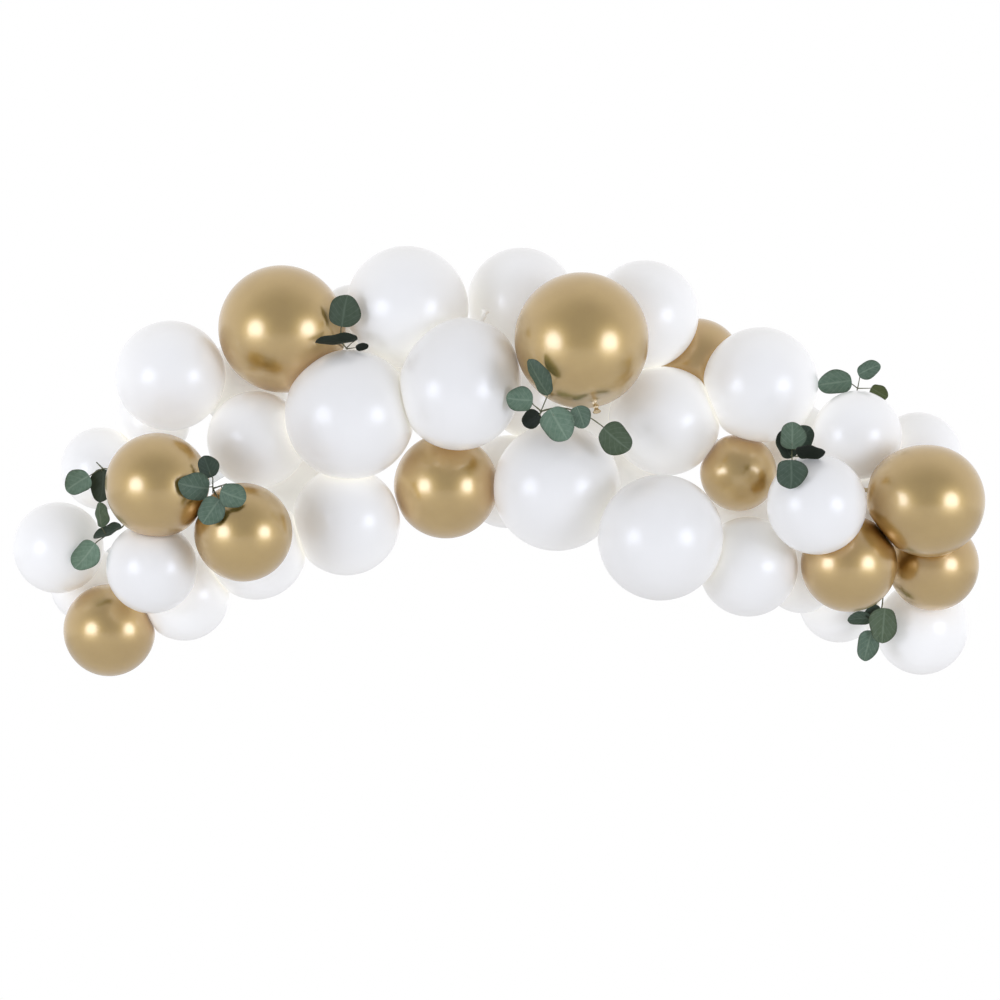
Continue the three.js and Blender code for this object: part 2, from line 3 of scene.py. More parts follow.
import bpy
import numpy as np
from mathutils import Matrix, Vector


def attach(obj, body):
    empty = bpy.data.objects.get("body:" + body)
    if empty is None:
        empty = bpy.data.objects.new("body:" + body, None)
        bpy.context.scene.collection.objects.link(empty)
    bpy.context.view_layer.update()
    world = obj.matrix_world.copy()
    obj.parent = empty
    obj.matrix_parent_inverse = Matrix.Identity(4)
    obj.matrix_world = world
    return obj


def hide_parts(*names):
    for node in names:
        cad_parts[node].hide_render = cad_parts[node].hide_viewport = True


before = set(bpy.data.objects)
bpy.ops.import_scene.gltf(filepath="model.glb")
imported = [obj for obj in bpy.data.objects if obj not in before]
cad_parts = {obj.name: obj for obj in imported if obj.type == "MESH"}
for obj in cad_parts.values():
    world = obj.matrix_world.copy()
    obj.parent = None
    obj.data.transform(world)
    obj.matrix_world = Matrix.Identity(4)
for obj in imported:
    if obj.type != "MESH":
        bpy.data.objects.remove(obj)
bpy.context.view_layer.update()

# Balloon garland: white latex and gold satin balloons along a clear strip, with eucalyptus.
# Metres, +Z up. The wall is the plane Y = 0, the front looks along -Y, and the origin is on the
# back of the strip at its crown. The tables are in millimetres, as in the part's source.
MM = 0.001

# Packing, as in the part's source
ARC_RADIUS = 1175 * MM
WALL_CLEARANCE = 1.6 * MM
WALL_PRESS = 0.95
BALLOON_PRESS = 0.9
CONTACT_GAP = 0.3 * MM
PLAIN_STRETCH = 1.04
TAIL_LENGTH = 21 * MM
LIP_RADIUS = 8 * MM
KNOT_OFFSET = 6 * MM

# The balloons in the order they are tied on: colour, place along the strip's curve, distance out
# from it, diameter, and how much longer than a half ball the neck's half is
BALLOONS = [
    ("white", -959, -14, 156),
    ("white", 874, -141, 168),
    ("white", 1044, -55, 191),
    ("white", 802, 191, 181),
    ("white", 764, -150, 156),
    ("white", -736, -92, 164),
    ("white", -659, 164, 152),
    ("white", -481, 141, 185),
    ("white", -470, -104, 164),
    ("white", -210, 61, 185),
    ("white", -260, 202, 140),
    ("white", 60, 5, 160),
    ("white", 19, -168, 189),
    ("white", 218, 16, 172),
    ("white", 309, -124, 156),
    ("white", 579, -121, 164),
    ("white", 600, 77, 156),
    ("white", 779, 56, 156),
    ("gold", 370, 143, 181),
    ("white", -786, 145, 168),
    ("white", -817, -166, 187),
    ("white", -612, -172, 209),
    ("white", 647, -198, 203),
    ("white", -162, 205, 250),
    ("white", 39, 204, 222),
    ("white", 256, 209, 222),
    ("white", 492, 146, 236),
    ("white", -592, 224, 226),
    ("gold", -383, 221, 259, 1.1),
    ("white", -504, 29, 198, 1.1),
    ("white", -384, -197, 222),
    ("gold", -128, -171, 214),
    ("white", -945, 82, 187),
    ("white", 691, 151, 183),
    ("gold", 961, 48, 187),
    ("gold", -999, -110, 189),
    ("white", 417, -223, 257),
    ("gold", 831, -71, 198),
    ("gold", 525, -37, 158),
    ("white", -832, -81, 187),
    ("white", 346, 7, 222, 1.08),
    ("white", 139, -172, 261),
    ("gold", -617, -131, 201),
    ("white", -307, 10, 267),
    ("gold", -717, 46, 214),
    ("white", -81, 24, 249, 1.22),
    ("gold", 152, 135, 275),
    ("white", 699, -15, 205),
    ("gold", 868, 134, 230, 1.15),
]

# The sprigs, from left to right, each lying on one balloon. A stem's points are across, up and
# forward from that balloon's centre, from the root or the nearest joint of the stems before it.
# A leaf: its middle across and up from that centre, length, width, the way its tip points
# anticlockwise from straight right, turn about its length, nod of its tip forward, how far it is
# set behind the stem, its tone from dark to light (its own tone, and a painted shade down to near
# black for leaves that lie in shadow) and how olive it is.
SPRIGS = [
  {
    "name": "eucalyptus_sprig_left",
    "on": "gold_balloon_09",
    "stem_tone": 0.3,
    "stems": [
      [[-58, -25, -114], [-86, 14, -114], [-105, 34, -114], [-123, 30, -114]],
      [[-58, -25, -114], [-62, -62, -114], [-70, -83, -114], [-99, -99, -114], [-123, -115, -114]],
      [[-111, 32, -114], [-126, 47, -114]],
    ],
    "leaves": [
      (-163, 4, 54, 51, 213, 5, 0, 0, 0.77, 0),
      (-115, 0, 66, 50, 265, 20, 0, 6, 0.08, 0.1),
      (-120, -62, 50, 46, 95, 54, 0, 0, 1, 0),
      (-101, -99, 60, 46, 204, 62, 0, 0, 0.2, 0),
      (-149, -144, 64, 54, 231, 5, 0, 0, 0.97, 0),
    ],
  },
  {
    "name": "eucalyptus_sprig_left_middle",
    "on": "gold_balloon_08",
    "stem_tone": 0.3,
    "stems": [
      [[-62, 87, -50], [-62, 90, 30], [-62, 112, 40]],
      [[-62, 90, 30], [-33, 100, 45]],
      [[-62, 90, 30], [-52, 73, 40]],
    ],
    "leaves": [
      (-73, 134, 45, 44, 110, 10, 0, 0, 0.18, 0),
      (-102, 97, 72, 58, 170, 0, 32, 0, 0.48, 0),
      (-21, 77, 54, 52, 340, 0, -10, 0, 0.6, 0),
      (-64, 44, 58, 54, 235, 0, 0, 0, 0.56, 0),
    ],
  },
  {
    "name": "eucalyptus_sprig_upper_left",
    "on": "gold_balloon_02",
    "stem_tone": 0.3,
    "stems": [[[135, -42, -18], [128, -34, 16], [123, -24, 56], [123, 0, 76]]],
    "leaves": [
      (131, 34, 64, 66, 80, 5, 0, 0, 0.27, 0.1),
      (116, -30, 84, 56, 185, 68, 0, 0, 0.05, 0),
      (166, -38, 26, 16, 10, 0, 0, 0, 0, 0),
    ],
  },
  {
    "name": "eucalyptus_sprig_centre",
    "on": "gold_balloon_10",
    "stem_tone": 0.3,
    "stems": [
      [[-83, -149, -68], [-83, -147, 32], [-70, -116, 62]],
      [[-83, -147, 32], [-99, -134, 52]],
      [[-83, -147, 32], [-44, -140, 52], [14, -159, 42], [40, -176, 12]],
    ],
    "leaves": [
      (-91, -81, 80, 56, 119, 48, 0, 0, 0.44, 0),
      (-126, -122, 53, 52, 175, 5, 0, 0, 0.74, 0),
      (-101, -163, 42, 38, 215, 0, -20, 8, 0.02, 0),
      (-47, -173, 70, 68, 300, 5, 0, -4, 0.8, 0),
      (-3, -159, 46, 42, 290, 0, 0, 4, 0.56, 0),
      (71, -202, 68, 64, 320, 5, 0, 0, 0.36, 0.2),
    ],
  },
  {
    "name": "eucalyptus_sprig_right_middle",
    "on": "white_balloon_38",
    "stem_tone": 0.3,
    "stems": [[[-32, 99, -86], [-48, 101, -31], [-51, 113, 4], [-51, 91, 44]]],
    "leaves": [
      (-51, 140, 54, 54, 90, 5, 0, -16, 0.6, 0.1),
      (-63, 122, 58, 50, 110, 30, 0, 18, 0.12, 0),
      (-30, 138, 50, 48, 50, 0, 0, 12, 0.2, 0),
      (-14, 113, 58, 54, 355, 58, 0, 0, 0, 0),
      (-55, 62, 58, 64, 270, 0, 10, 0, 0.3, 0),
    ],
  },
  {
    "name": "eucalyptus_sprig_top_right",
    "on": "white_balloon_31",
    "stem_tone": 0.3,
    "stems": [[[-1, 56, -113], [-1, 76, -95], [0, 91, -65], [1, 96, -33]]],
    "leaves": [
      (-45, 107, 68, 50, 188, 5, 0, 0, 0.66, 0),
      (24, 134, 48, 36, 25, 5, 0, 0, 0.56, 0),
      (46, 89, 38, 36, 330, 20, 0, 30, 0.25, 0.6),
    ],
  },
  {
    "name": "eucalyptus_sprig_bottom_right",
    "on": "gold_balloon_04",
    "stem_tone": 0.3,
    "stems": [
      [[-102, -26, -10], [-104, -55, -10], [-104, -68, -10], [-106, -86, -10], [-124, -137, -10]],
      [[-104, -55, -10], [-116, -76, -10], [-122, -88, -10]],
    ],
    "leaves": [
      (-151, -111, 48, 28, 185, 0, 0, 0, 0.3, 0),
      (-124, -96, 34, 30, 200, 0, 0, 0, 0.15, 0),
      (-102, -123, 70, 58, 265, 5, 0, -5, 0.52, 0.25),
      (-133, -165, 62, 45, 255, 5, 0, 0, 0.6, 0),
    ],
  },
]

# Skins of the balloons: spokes, dome rows and shoulder rows, finer in front than behind
FRONT_ROW = -180 * MM
FINE = (116, 72, 12)
COARSE = (72, 48, 9)
CREASE = 2.2 * MM
DOME_END = 156
SHOULDER_PULL = 0.2
NECK_PULL = 0.1
TAIL_STEPS = 22
# Distance from the axis and height above the neck's base, in millimetres
TAIL_PROFILE = [
    (3.8, 1), (3.4, 3.5), (4.2, 5.5), (5.6, 7), (6, 9), (5.2, 11), (3.6, 12.6), (3.9, 14.5), (5, 17),
    (6.6, 19), (8, 20.4), (8.6, 21.4), (8.3, 22.3), (7.5, 22.4), (6.8, 21.5), (5.6, 19.6), (3.6, 18.2),
    (1.6, 17.6), (0, 17.5),
]
PLEAT_REACH = 0.2
PLEAT_DEPTH = 0.55 * MM
THICK_REACH = 0.1
TAIL_LEAN = 0.18
# How fast closeness, the mask of the painted shade and painted glow where balloons meet, fades with the
# gap
GAP_FADE = 30 * MM
# Depths over which the painted glow of the white latex rises from its front level to its back level
FRONT_DEPTH = -375 * MM
BACK_DEPTH = -275 * MM

# Eucalyptus
SPRIG_CLEARANCE = 1.2 * MM
LEAF_CLEARANCE = 2.8 * MM
STEM_RADIUS = 1.8 * MM
STEM_STEP = 10 * MM
STEM_TAPER = 0.62
STEM_SWELL = 0.1
STALK_RADIUS = 1.3 * MM
STALK_REACH = 0.4
STALK_TAPER = 0.45
STALK_SHADE = 0.8
ROD_SPOKES = 10
LEAF_PASSES = 3
LEAF_ROWS = 44
LEAF_SPOKES = 44
LEAF_THICK = 0.9 * MM
LEAF_TIP = 0.08
LEAF_BLUNT = 0.8
LEAF_UNEVEN = 0.07
LEAF_CUP = 0.15
LEAF_SWAY = 0.04
LEAF_FULL = 0.08
LEAF_ARCH = 0.05
LEAF_WAVE = 0.025
RIB_DEPTH = 0.5 * MM
RIB_WIDTH = 1.6 * MM
VEIN_PITCH = 0.13
VEIN_SLANT = 0.28
VEIN_NARROW = 9
VEIN_FAINT = 0.55
EDGE_POWER = 9
EDGE_DARK = 0.55

# Colours
WHITE = (0.86, 0.852, 0.825)
WHITE_DEEP = (0.85, 0.842, 0.815)
# Painted shade: a warm cream mixed into the white latex where balloons meet
CREAM_PAINTED_GAP_SHADE = (0.88, 0.86, 0.805)
KNOT_WHITE = (0.9, 0.87, 0.8)
# Painted glow: an emission in the white latex that stands in for light through the thin skins and lifts
# the shade, faint in front, stronger towards the wall and stronger still where balloons meet
FRONT_PAINTED_GLOW = (0.045, 0.045, 0.046)
BACK_PAINTED_GLOW = (0.135, 0.136, 0.138)
FRONT_GAP_PAINTED_GLOW = (0.115, 0.114, 0.11)
BACK_GAP_PAINTED_GLOW = (0.22, 0.221, 0.219)
GOLD = (0.53, 0.34, 0.065)
GOLD_DEEP = (0.48, 0.3, 0.05)
# Painted shade: a slightly deeper orange mixed into the gold latex where balloons meet
GOLD_PAINTED_GAP_SHADE = (0.52, 0.3, 0.06)
GOLD_KNOT = (0.6, 0.45, 0.22)
LEAF_GREEN = (0.21, 0.31, 0.225)
LEAF_SHADE = (0.15, 0.24, 0.165)
# Painted shade: the near-black green that leaves lying in shadow are mixed towards by their tone
LEAF_PAINTED_SHADOW = (0.008, 0.013, 0.007)
LEAF_OLIVE = (0.12, 0.14, 0.035)
LEAF_VEIN = (0.36, 0.45, 0.34)
LEAF_EDGE = (0.035, 0.045, 0.02)
STEM_DARK = (0.05, 0.035, 0.02)
STEM_BROWN = (0.12, 0.085, 0.05)
STEM_GREEN = (0.22, 0.3, 0.14)
FILM_DEEP = (0.72, 0.76, 0.76)
FILM = (0.9, 0.92, 0.92)
FLOOR_GREY = (0.86, 0.86, 0.86)
FLOOR_PALE = (0.9, 0.9, 0.9)

# Room, light and camera
FLOOR_HEIGHT = -1.6
FLOOR_REACH = 8.5
BOX_ANGLE = 49
BOX_DISTANCE = 9
BOX_SIZE = 4.6
BOX_POWER = 165
LAMP_SIZE = 2.3
LAMP_POWER = 55
LIGHT_COLOUR = (0.9, 0.97, 1.17)
AIM = (0.002, -0.22, -0.205)
CAMERA_DISTANCE = 60
FRAME_WIDTH = 2.053
SENSOR_WIDTH = 36
ROOM_DEPTH = [(0, (0.5,) * 3), (0.2, (0.56,) * 3), (0.5, (0.92,) * 3), (1, (1,) * 3)]
ROOM_HEIGHT = [(0.1, (1.15, 1.13, 1.1)), (0.45, (1, 1, 1.02)), (0.9, (0.9, 0.89, 0.9))]


def ramp(value, low, high):
    """0 up to low, 1 from high on, and a smooth step in between."""
    share = np.clip((value - low) / (high - low), 0, 1)
    return share * share * (3 - 2 * share)


def smooth_line(points, count):
    """A smooth line through points, as count even steps: between two neighbours each coordinate is
    the cubic that has their values and, at each, the slope of the chord past it."""
    points = np.asarray(points, float)
    gaps = np.linalg.norm(np.diff(points, axis=0), axis=1)
    places = np.concatenate([[0], np.cumsum(gaps)])
    slopes = np.gradient(points, places, axis=0)
    at = np.linspace(0, places[-1], count)
    k = np.clip(np.searchsorted(places, at, side="right") - 1, 0, len(gaps) - 1)
    t = ((at - places[k]) / gaps[k])[:, None]
    span = gaps[k][:, None]
    start = points[k] * (1 + 2 * t) * (1 - t) ** 2 + slopes[k] * span * t * (1 - t) ** 2
    end = points[k + 1] * t * t * (3 - 2 * t) - slopes[k + 1] * span * t * t * (1 - t)
    return start + end


def turned(axis, degrees):
    """The matrix that turns by an angle about an axis: the axis part stays, and the rest turns."""
    x, y, z = np.asarray(axis, float) / np.linalg.norm(axis)
    c, s = math.cos(math.radians(degrees)), math.sin(math.radians(degrees))
    cross = np.array([[0, -z, y], [z, 0, -x], [-y, x, 0]])
    return c * np.eye(3) + s * cross + (1 - c) * np.outer([x, y, z], [x, y, z])


def across(axis):
    """Two unit directions square to an axis and to each other, so that the three are right-handed."""
    side = np.cross(axis, [0, 0, 1] if abs(axis[2]) < 0.9 else [1, 0, 0])
    side /= np.linalg.norm(side)
    return side, np.cross(axis, side)


def join_skins(name, skins, materials):
    """One mesh from closed skins. A skin's rows run from a single point to a single point, each row
    counter-clockwise seen from the end: neighbouring rows are joined by quads, and the single
    points by fans. A skin's values are one number per point, by name."""
    spots, corners, sizes, slots = [], [], [], []
    values = {key: [] for key in skins[0]["values"]}
    first = 0
    for skin in skins:
        rows = skin["rows"]
        count, spokes = rows.shape[0] - 2, rows.shape[1]
        spots += [rows[0, :1], rows[1:-1].reshape(-1, 3), rows[-1, :1]]
        for key, value in skin["values"].items():
            full = np.broadcast_to(value, rows.shape[:2])
            values[key] += [full[0, :1], full[1:-1].ravel(), full[-1, :1]]
        j = np.arange(spokes)
        nxt = (j + 1) % spokes
        ring = first + 1 + spokes * np.arange(count)[:, None]
        quads = np.stack(
            [ring[:-1] + j, ring[:-1] + nxt, ring[1:] + nxt, ring[1:] + j], axis=-1
        ).reshape(-1, 4)
        near = np.stack([np.full(spokes, first), ring[0] + nxt, ring[0] + j], axis=-1)
        last = first + 1 + spokes * count
        far = np.stack([ring[-1] + j, ring[-1] + nxt, np.full(spokes, last)], axis=-1)
        corners += [near.ravel(), quads.ravel(), far.ravel()]
        sizes += [np.full(spokes, 3), np.full(len(quads), 4), np.full(spokes, 3)]
        slots.append(np.full(len(quads) + 2 * spokes, skin.get("slot", 0)))
        first = last + 1
    spots, corners = np.concatenate(spots), np.concatenate(corners)
    sizes, slots = np.concatenate(sizes), np.concatenate(slots)
    mesh = bpy.data.meshes.new(name)
    mesh.vertices.add(len(spots))
    mesh.vertices.foreach_set("co", spots.astype(np.float32).ravel())
    mesh.loops.add(len(corners))
    mesh.loops.foreach_set("vertex_index", corners.astype(np.int32))
    mesh.polygons.add(len(sizes))
    mesh.polygons.foreach_set("loop_start", (np.cumsum(sizes) - sizes).astype(np.int32))
    mesh.polygons.foreach_set("material_index", slots.astype(np.int32))
    mesh.polygons.foreach_set("use_smooth", np.ones(len(sizes), bool))
    for key, value in values.items():
        layer = mesh.attributes.new(key, "FLOAT", "POINT")
        layer.data.foreach_set("value", np.concatenate(value).astype(np.float32))
    mesh.update(calc_edges=True)
    mesh.validate()
    piece = bpy.data.objects.new(name, mesh)
    bpy.context.scene.collection.objects.link(piece)
    for material in materials:
        mesh.materials.append(material)
    return piece


# Materials

def new_material(name):
    """A material with one Principled shader, and its nodes and links."""
    material = bpy.data.materials.new(name)
    material.use_nodes = True
    nodes, links = material.node_tree.nodes, material.node_tree.links
    return material, nodes, links, nodes["Principled BSDF"]


def noise(nodes, links, scale, detail=3.0):
    """A noise pattern fixed to the piece, in its own coordinates."""
    place = nodes.new("ShaderNodeTexCoord")
    pattern = nodes.new("ShaderNodeTexNoise")
    pattern.inputs["Scale"].default_value = scale
    pattern.inputs["Detail"].default_value = detail
    links.new(place.outputs["Object"], pattern.inputs["Vector"])
    return pattern.outputs["Fac"]


def stops(nodes, links, factor, colours):
    """A colour ramp from (place, colour) pairs, read by a factor."""
    band = nodes.new("ShaderNodeValToRGB")
    links.new(factor, band.inputs["Fac"])
    elements = band.color_ramp.elements
    while len(elements) < len(colours):
        elements.new(0.5)
    for element, (place, colour) in zip(elements, colours):
        element.position = place
        element.color = (*colour, 1)
    return band.outputs["Color"]


def blended(nodes, links, factor, first, second):
    """A colour mixed from two by a factor. Each may be a colour or another node's output."""
    mix = nodes.new("ShaderNodeMix")
    mix.data_type = "RGBA"
    links.new(factor, mix.inputs["Factor"])
    for socket, colour in ((mix.inputs["A"], first), (mix.inputs["B"], second)):
        if isinstance(colour, tuple):
            socket.default_value = (*colour, 1)
        else:
            links.new(colour, socket)
    return mix.outputs["Result"]


def sums(nodes, links, operation, first, second):
    """Two numbers joined by an operation. Each may be a number or another node's output."""
    node = nodes.new("ShaderNodeMath")
    node.operation = operation
    for socket, value in zip(node.inputs, (first, second)):
        if isinstance(value, (int, float)):
            socket.default_value = value
        else:
            links.new(value, socket)
    return node.outputs[0]


def painted(nodes, name):
    """The number that a mesh carries under a name, at each point."""
    read = nodes.new("ShaderNodeAttribute")
    read.attribute_name = name
    return read.outputs["Fac"]


def spread(nodes, links, factor, low, high, start=0):
    """A factor from its start to 1 spread from low to high."""
    node = nodes.new("ShaderNodeMapRange")
    node.inputs["From Min"].default_value = start
    node.inputs["To Min"].default_value = low
    node.inputs["To Max"].default_value = high
    links.new(factor, node.inputs["Value"])
    return node.outputs["Result"]


def bumped(nodes, links, shader, height, depth):
    """A relief of that depth on a shader, from a height between 0 and 1."""
    relief = nodes.new("ShaderNodeBump")
    relief.inputs["Distance"].default_value = depth
    links.new(height, relief.inputs["Height"])
    links.new(relief.outputs["Normal"], shader.inputs["Normal"])


def white_latex():
    """White latex: a painted cream shade where balloons meet, cream where the latex is thick at the
    knot, a faint cloudiness and a soft gloss. A painted glow stands in for light that comes through the
    thin skins and
    lifts the shade: faint in front, stronger towards the wall and where balloons meet."""
    material, nodes, links, shader = new_material("white_latex")
    cloud = stops(nodes, links, noise(nodes, links, 9), [(0.3, WHITE_DEEP), (0.7, WHITE)])
    # Painted shade: cream where balloons meet, by closeness
    gaps = blended(nodes, links, painted(nodes, "closeness"), cloud, CREAM_PAINTED_GAP_SHADE)
    thick = blended(nodes, links, painted(nodes, "thickness"), gaps, KNOT_WHITE)
    links.new(thick, shader.inputs["Base Color"])
    # Painted glow: an emission that lifts the shade, more towards the wall (depth) and where balloons
    # meet (closeness)
    depth_painted_glow = blended(nodes, links, painted(nodes, "depth"), FRONT_PAINTED_GLOW, BACK_PAINTED_GLOW)
    gap = blended(nodes, links, painted(nodes, "depth"), FRONT_GAP_PAINTED_GLOW, BACK_GAP_PAINTED_GLOW)
    painted_glow = blended(nodes, links, painted(nodes, "closeness"), depth_painted_glow, gap)
    links.new(painted_glow, shader.inputs["Emission Color"])
    shader.inputs["Emission Strength"].default_value = 1
    shader.inputs["Coat Weight"].default_value = 0.6
    shader.inputs["Coat Roughness"].default_value = 0.22
    gloss = spread(nodes, links, noise(nodes, links, 6, 1), 0.3, 0.33)
    links.new(gloss, shader.inputs["Roughness"])
    return material


def gold_satin():
    """Gold satin latex: a metallic skin under a clear gloss, paler at the knot, with faint clouds in
    its colour and gloss, and a painted shade of slightly deeper orange where balloons meet."""
    material, nodes, links, shader = new_material("gold_satin")
    cloud = stops(nodes, links, noise(nodes, links, 14), [(0.3, GOLD_DEEP), (0.68, GOLD)])
    # Painted shade: deeper orange where balloons meet, by closeness
    gaps = blended(nodes, links, painted(nodes, "closeness"), cloud, GOLD_PAINTED_GAP_SHADE)
    thick = blended(nodes, links, painted(nodes, "thickness"), gaps, GOLD_KNOT)
    links.new(thick, shader.inputs["Base Color"])
    shader.inputs["Metallic"].default_value = 0.92
    shader.inputs["Coat Weight"].default_value = 1
    shader.inputs["Coat IOR"].default_value = 2.4
    shader.inputs["Coat Roughness"].default_value = 0.24
    gloss = spread(nodes, links, noise(nodes, links, 6, 1), 0.34, 0.39)
    links.new(gloss, shader.inputs["Roughness"])
    return material


def eucalyptus_leaf():
    """A eucalyptus leaf: a pale midrib and side veins that leave it at a slant, mottled green
    between them and a dark rim, each leaf lighter or darker than the next by its tone, which is its
    own tone and, for leaves that lie in shadow, a painted shade down to near black."""
    material, nodes, links, shader = new_material("eucalyptus_leaf")
    side = sums(nodes, links, "ABSOLUTE", painted(nodes, "across"), 0)
    rib = spread(nodes, links, sums(nodes, links, "MULTIPLY", side, VEIN_NARROW), 1, 0)
    lag = sums(nodes, links, "MULTIPLY", side, VEIN_SLANT)
    slant = sums(nodes, links, "SUBTRACT", painted(nodes, "along"), lag)
    wander = sums(nodes, links, "MULTIPLY", noise(nodes, links, 60), 0.08)
    comb = sums(nodes, links, "PINGPONG", sums(nodes, links, "ADD", slant, wander), VEIN_PITCH / 2)
    beside = sums(nodes, links, "MULTIPLY", comb, VEIN_NARROW / VEIN_PITCH)
    vein = spread(nodes, links, beside, 1, 0)
    lines = sums(nodes, links, "MAXIMUM", rib, sums(nodes, links, "MULTIPLY", vein, VEIN_FAINT))
    mottle = noise(nodes, links, 130, 4)
    flesh = stops(nodes, links, mottle, [(0.3, LEAF_SHADE), (0.7, LEAF_GREEN)])
    # Painted shade: each leaf's tone mixes it towards near black, for its own tone and for the shadow it
    # lies in
    dark = blended(nodes, links, painted(nodes, "tone"), LEAF_PAINTED_SHADOW, flesh)
    olive = blended(nodes, links, painted(nodes, "olive"), dark, LEAF_OLIVE)
    rim = sums(nodes, links, "POWER", side, EDGE_POWER)
    edge = sums(nodes, links, "MULTIPLY", rim, EDGE_DARK)
    rimmed = blended(nodes, links, edge, olive, LEAF_EDGE)
    half_tone = sums(nodes, links, "MULTIPLY", painted(nodes, "tone"), 0.5)
    pale = sums(nodes, links, "MULTIPLY", lines, half_tone)
    links.new(blended(nodes, links, pale, rimmed, LEAF_VEIN), shader.inputs["Base Color"])
    shader.inputs["Roughness"].default_value = 0.55
    shader.inputs["Specular IOR Level"].default_value = 0.25
    bumped(nodes, links, shader, sums(nodes, links, "ADD", lines, mottle), 0.25 * MM)
    return material


def eucalyptus_stem():
    """A stem: grey-brown to green along its length, with fine bark noise."""
    material, nodes, links, shader = new_material("eucalyptus_stem")
    bark = noise(nodes, links, 240, 4)
    brown = stops(nodes, links, bark, [(0.35, STEM_DARK), (0.7, STEM_BROWN)])
    colour = blended(nodes, links, painted(nodes, "tone"), brown, STEM_GREEN)
    links.new(colour, shader.inputs["Base Color"])
    shader.inputs["Roughness"].default_value = 0.6
    bumped(nodes, links, shader, bark, 0.2 * MM)
    return material


def clear_film():
    """Clear film: a thin glossy strip that lets most light through, with faint waves in its gloss."""
    material, nodes, links, shader = new_material("clear_film")
    haze = stops(nodes, links, noise(nodes, links, 40), [(0.3, FILM_DEEP), (0.7, FILM)])
    links.new(haze, shader.inputs["Base Color"])
    shader.inputs["Alpha"].default_value = 0.45
    gloss = spread(nodes, links, noise(nodes, links, 60), 0.08, 0.2)
    links.new(gloss, shader.inputs["Roughness"])
    bumped(nodes, links, shader, noise(nodes, links, 300), 0.1 * MM)
    return material


def pale_floor():
    """A plain pale floor with a barely seen unevenness."""
    material, nodes, links, shader = new_material("pale_floor")
    plain = stops(nodes, links, noise(nodes, links, 1.5), [(0.3, FLOOR_GREY), (0.7, FLOOR_PALE)])
    links.new(plain, shader.inputs["Base Color"])
    shader.inputs["Roughness"].default_value = 0.8
    return material


# Balloons

def on_arc(along, out):
    """A place on the strip's curve, in the wall plane."""
    angle = along / ARC_RADIUS
    reach = ARC_RADIUS + out
    return np.array([reach * math.sin(angle), 0, reach * math.cos(angle) - ARC_RADIUS])


def settle():
    """Each balloon is pushed in from the front until it meets the wall or the balloons behind it:
    where two overlap seen from the front, their middles end a pressed share of both radii apart."""
    placed = []
    counts = {"white": 0, "gold": 0}
    for colour, along, out, diameter, *rest in BALLOONS:
        radius = diameter * MM / 2
        centre = on_arc(along * MM, out * MM)
        depth = -(WALL_CLEARANCE + WALL_PRESS * radius)
        for other in placed:
            gap = math.hypot(centre[0] - other["centre"][0], centre[2] - other["centre"][2])
            reach = BALLOON_PRESS * (radius + other["radius"])
            if gap < reach:
                depth = min(depth, other["centre"][1] - math.sqrt(reach**2 - gap**2))
        centre[1] = depth
        counts[colour] += 1
        balloon = {
            "colour": colour,
            "number": counts[colour],
            "node": f"{colour}_balloon_{counts[colour]:02d}",
            "radius": radius,
            "stretch": rest[0] if rest else PLAIN_STRETCH,
            "centre": centre,
        }
        balloon["axis"] = neck_axis(balloon)
        placed.append(balloon)
    return placed


def neck_axis(balloon):
    """The way a neck points: the mean direction of the node's corners past the knot, which ring it."""
    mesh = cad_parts[balloon["node"]].data
    spots = np.empty(3 * len(mesh.vertices), np.float32)
    mesh.vertices.foreach_get("co", spots)
    spots = np.unique(spots.reshape(-1, 3).round(5), axis=0) - balloon["centre"]
    knot = balloon["radius"] * balloon["stretch"] + 2 * KNOT_OFFSET
    axis = spots[np.linalg.norm(spots, axis=1) > knot].mean(axis=0)
    return axis / np.linalg.norm(axis)


def contact_faces(balloon, balloons):
    """The flat faces at which a balloon meets the wall and its neighbours, as unit directions and
    distances from its middle: for a neighbour, the plane on which both balls would cut each other."""
    normals, reaches = [np.array([0, 1.0, 0])], [-balloon["centre"][1] - WALL_CLEARANCE]
    for other in balloons:
        between = other["centre"] - balloon["centre"]
        gap = np.linalg.norm(between)
        if other is balloon or gap > balloon["radius"] + other["radius"] + CREASE:
            continue
        reach = (gap**2 + balloon["radius"] ** 2 - other["radius"] ** 2) / (2 * gap)
        normals.append(between / gap)
        reaches.append(reach - CONTACT_GAP / 2)
    return np.array(normals), np.array(reaches)


def neck_profile(radius, stretch, steps):
    """Points (distance from the axis, height) from the dome's end over the shoulder to the mouth:
    a curve that leaves the dome along its tangent and ends along the neck, then the knot, the tail
    and the rolled lip by their measured points."""
    angle = math.radians(DOME_END)
    start = np.array([radius * math.sin(angle), -radius * stretch * math.cos(angle)])
    way = np.array([math.cos(angle), stretch * math.sin(angle)])
    base = radius * stretch
    end = np.array([TAIL_PROFILE[0][0] * MM, base + TAIL_PROFILE[0][1] * MM])
    first = start + way * SHOULDER_PULL * radius
    second = end - np.array([0, NECK_PULL * radius])
    t = np.linspace(0, 1, steps + 1)[1:, None]
    shoulder = (
        start * (1 - t) ** 3 + 3 * first * t * (1 - t) ** 2
        + 3 * second * t * t * (1 - t) + end * t**3
    )
    tail = np.array(TAIL_PROFILE) * MM + [0, base]
    return shoulder, smooth_line(tail, TAIL_STEPS)[1:]


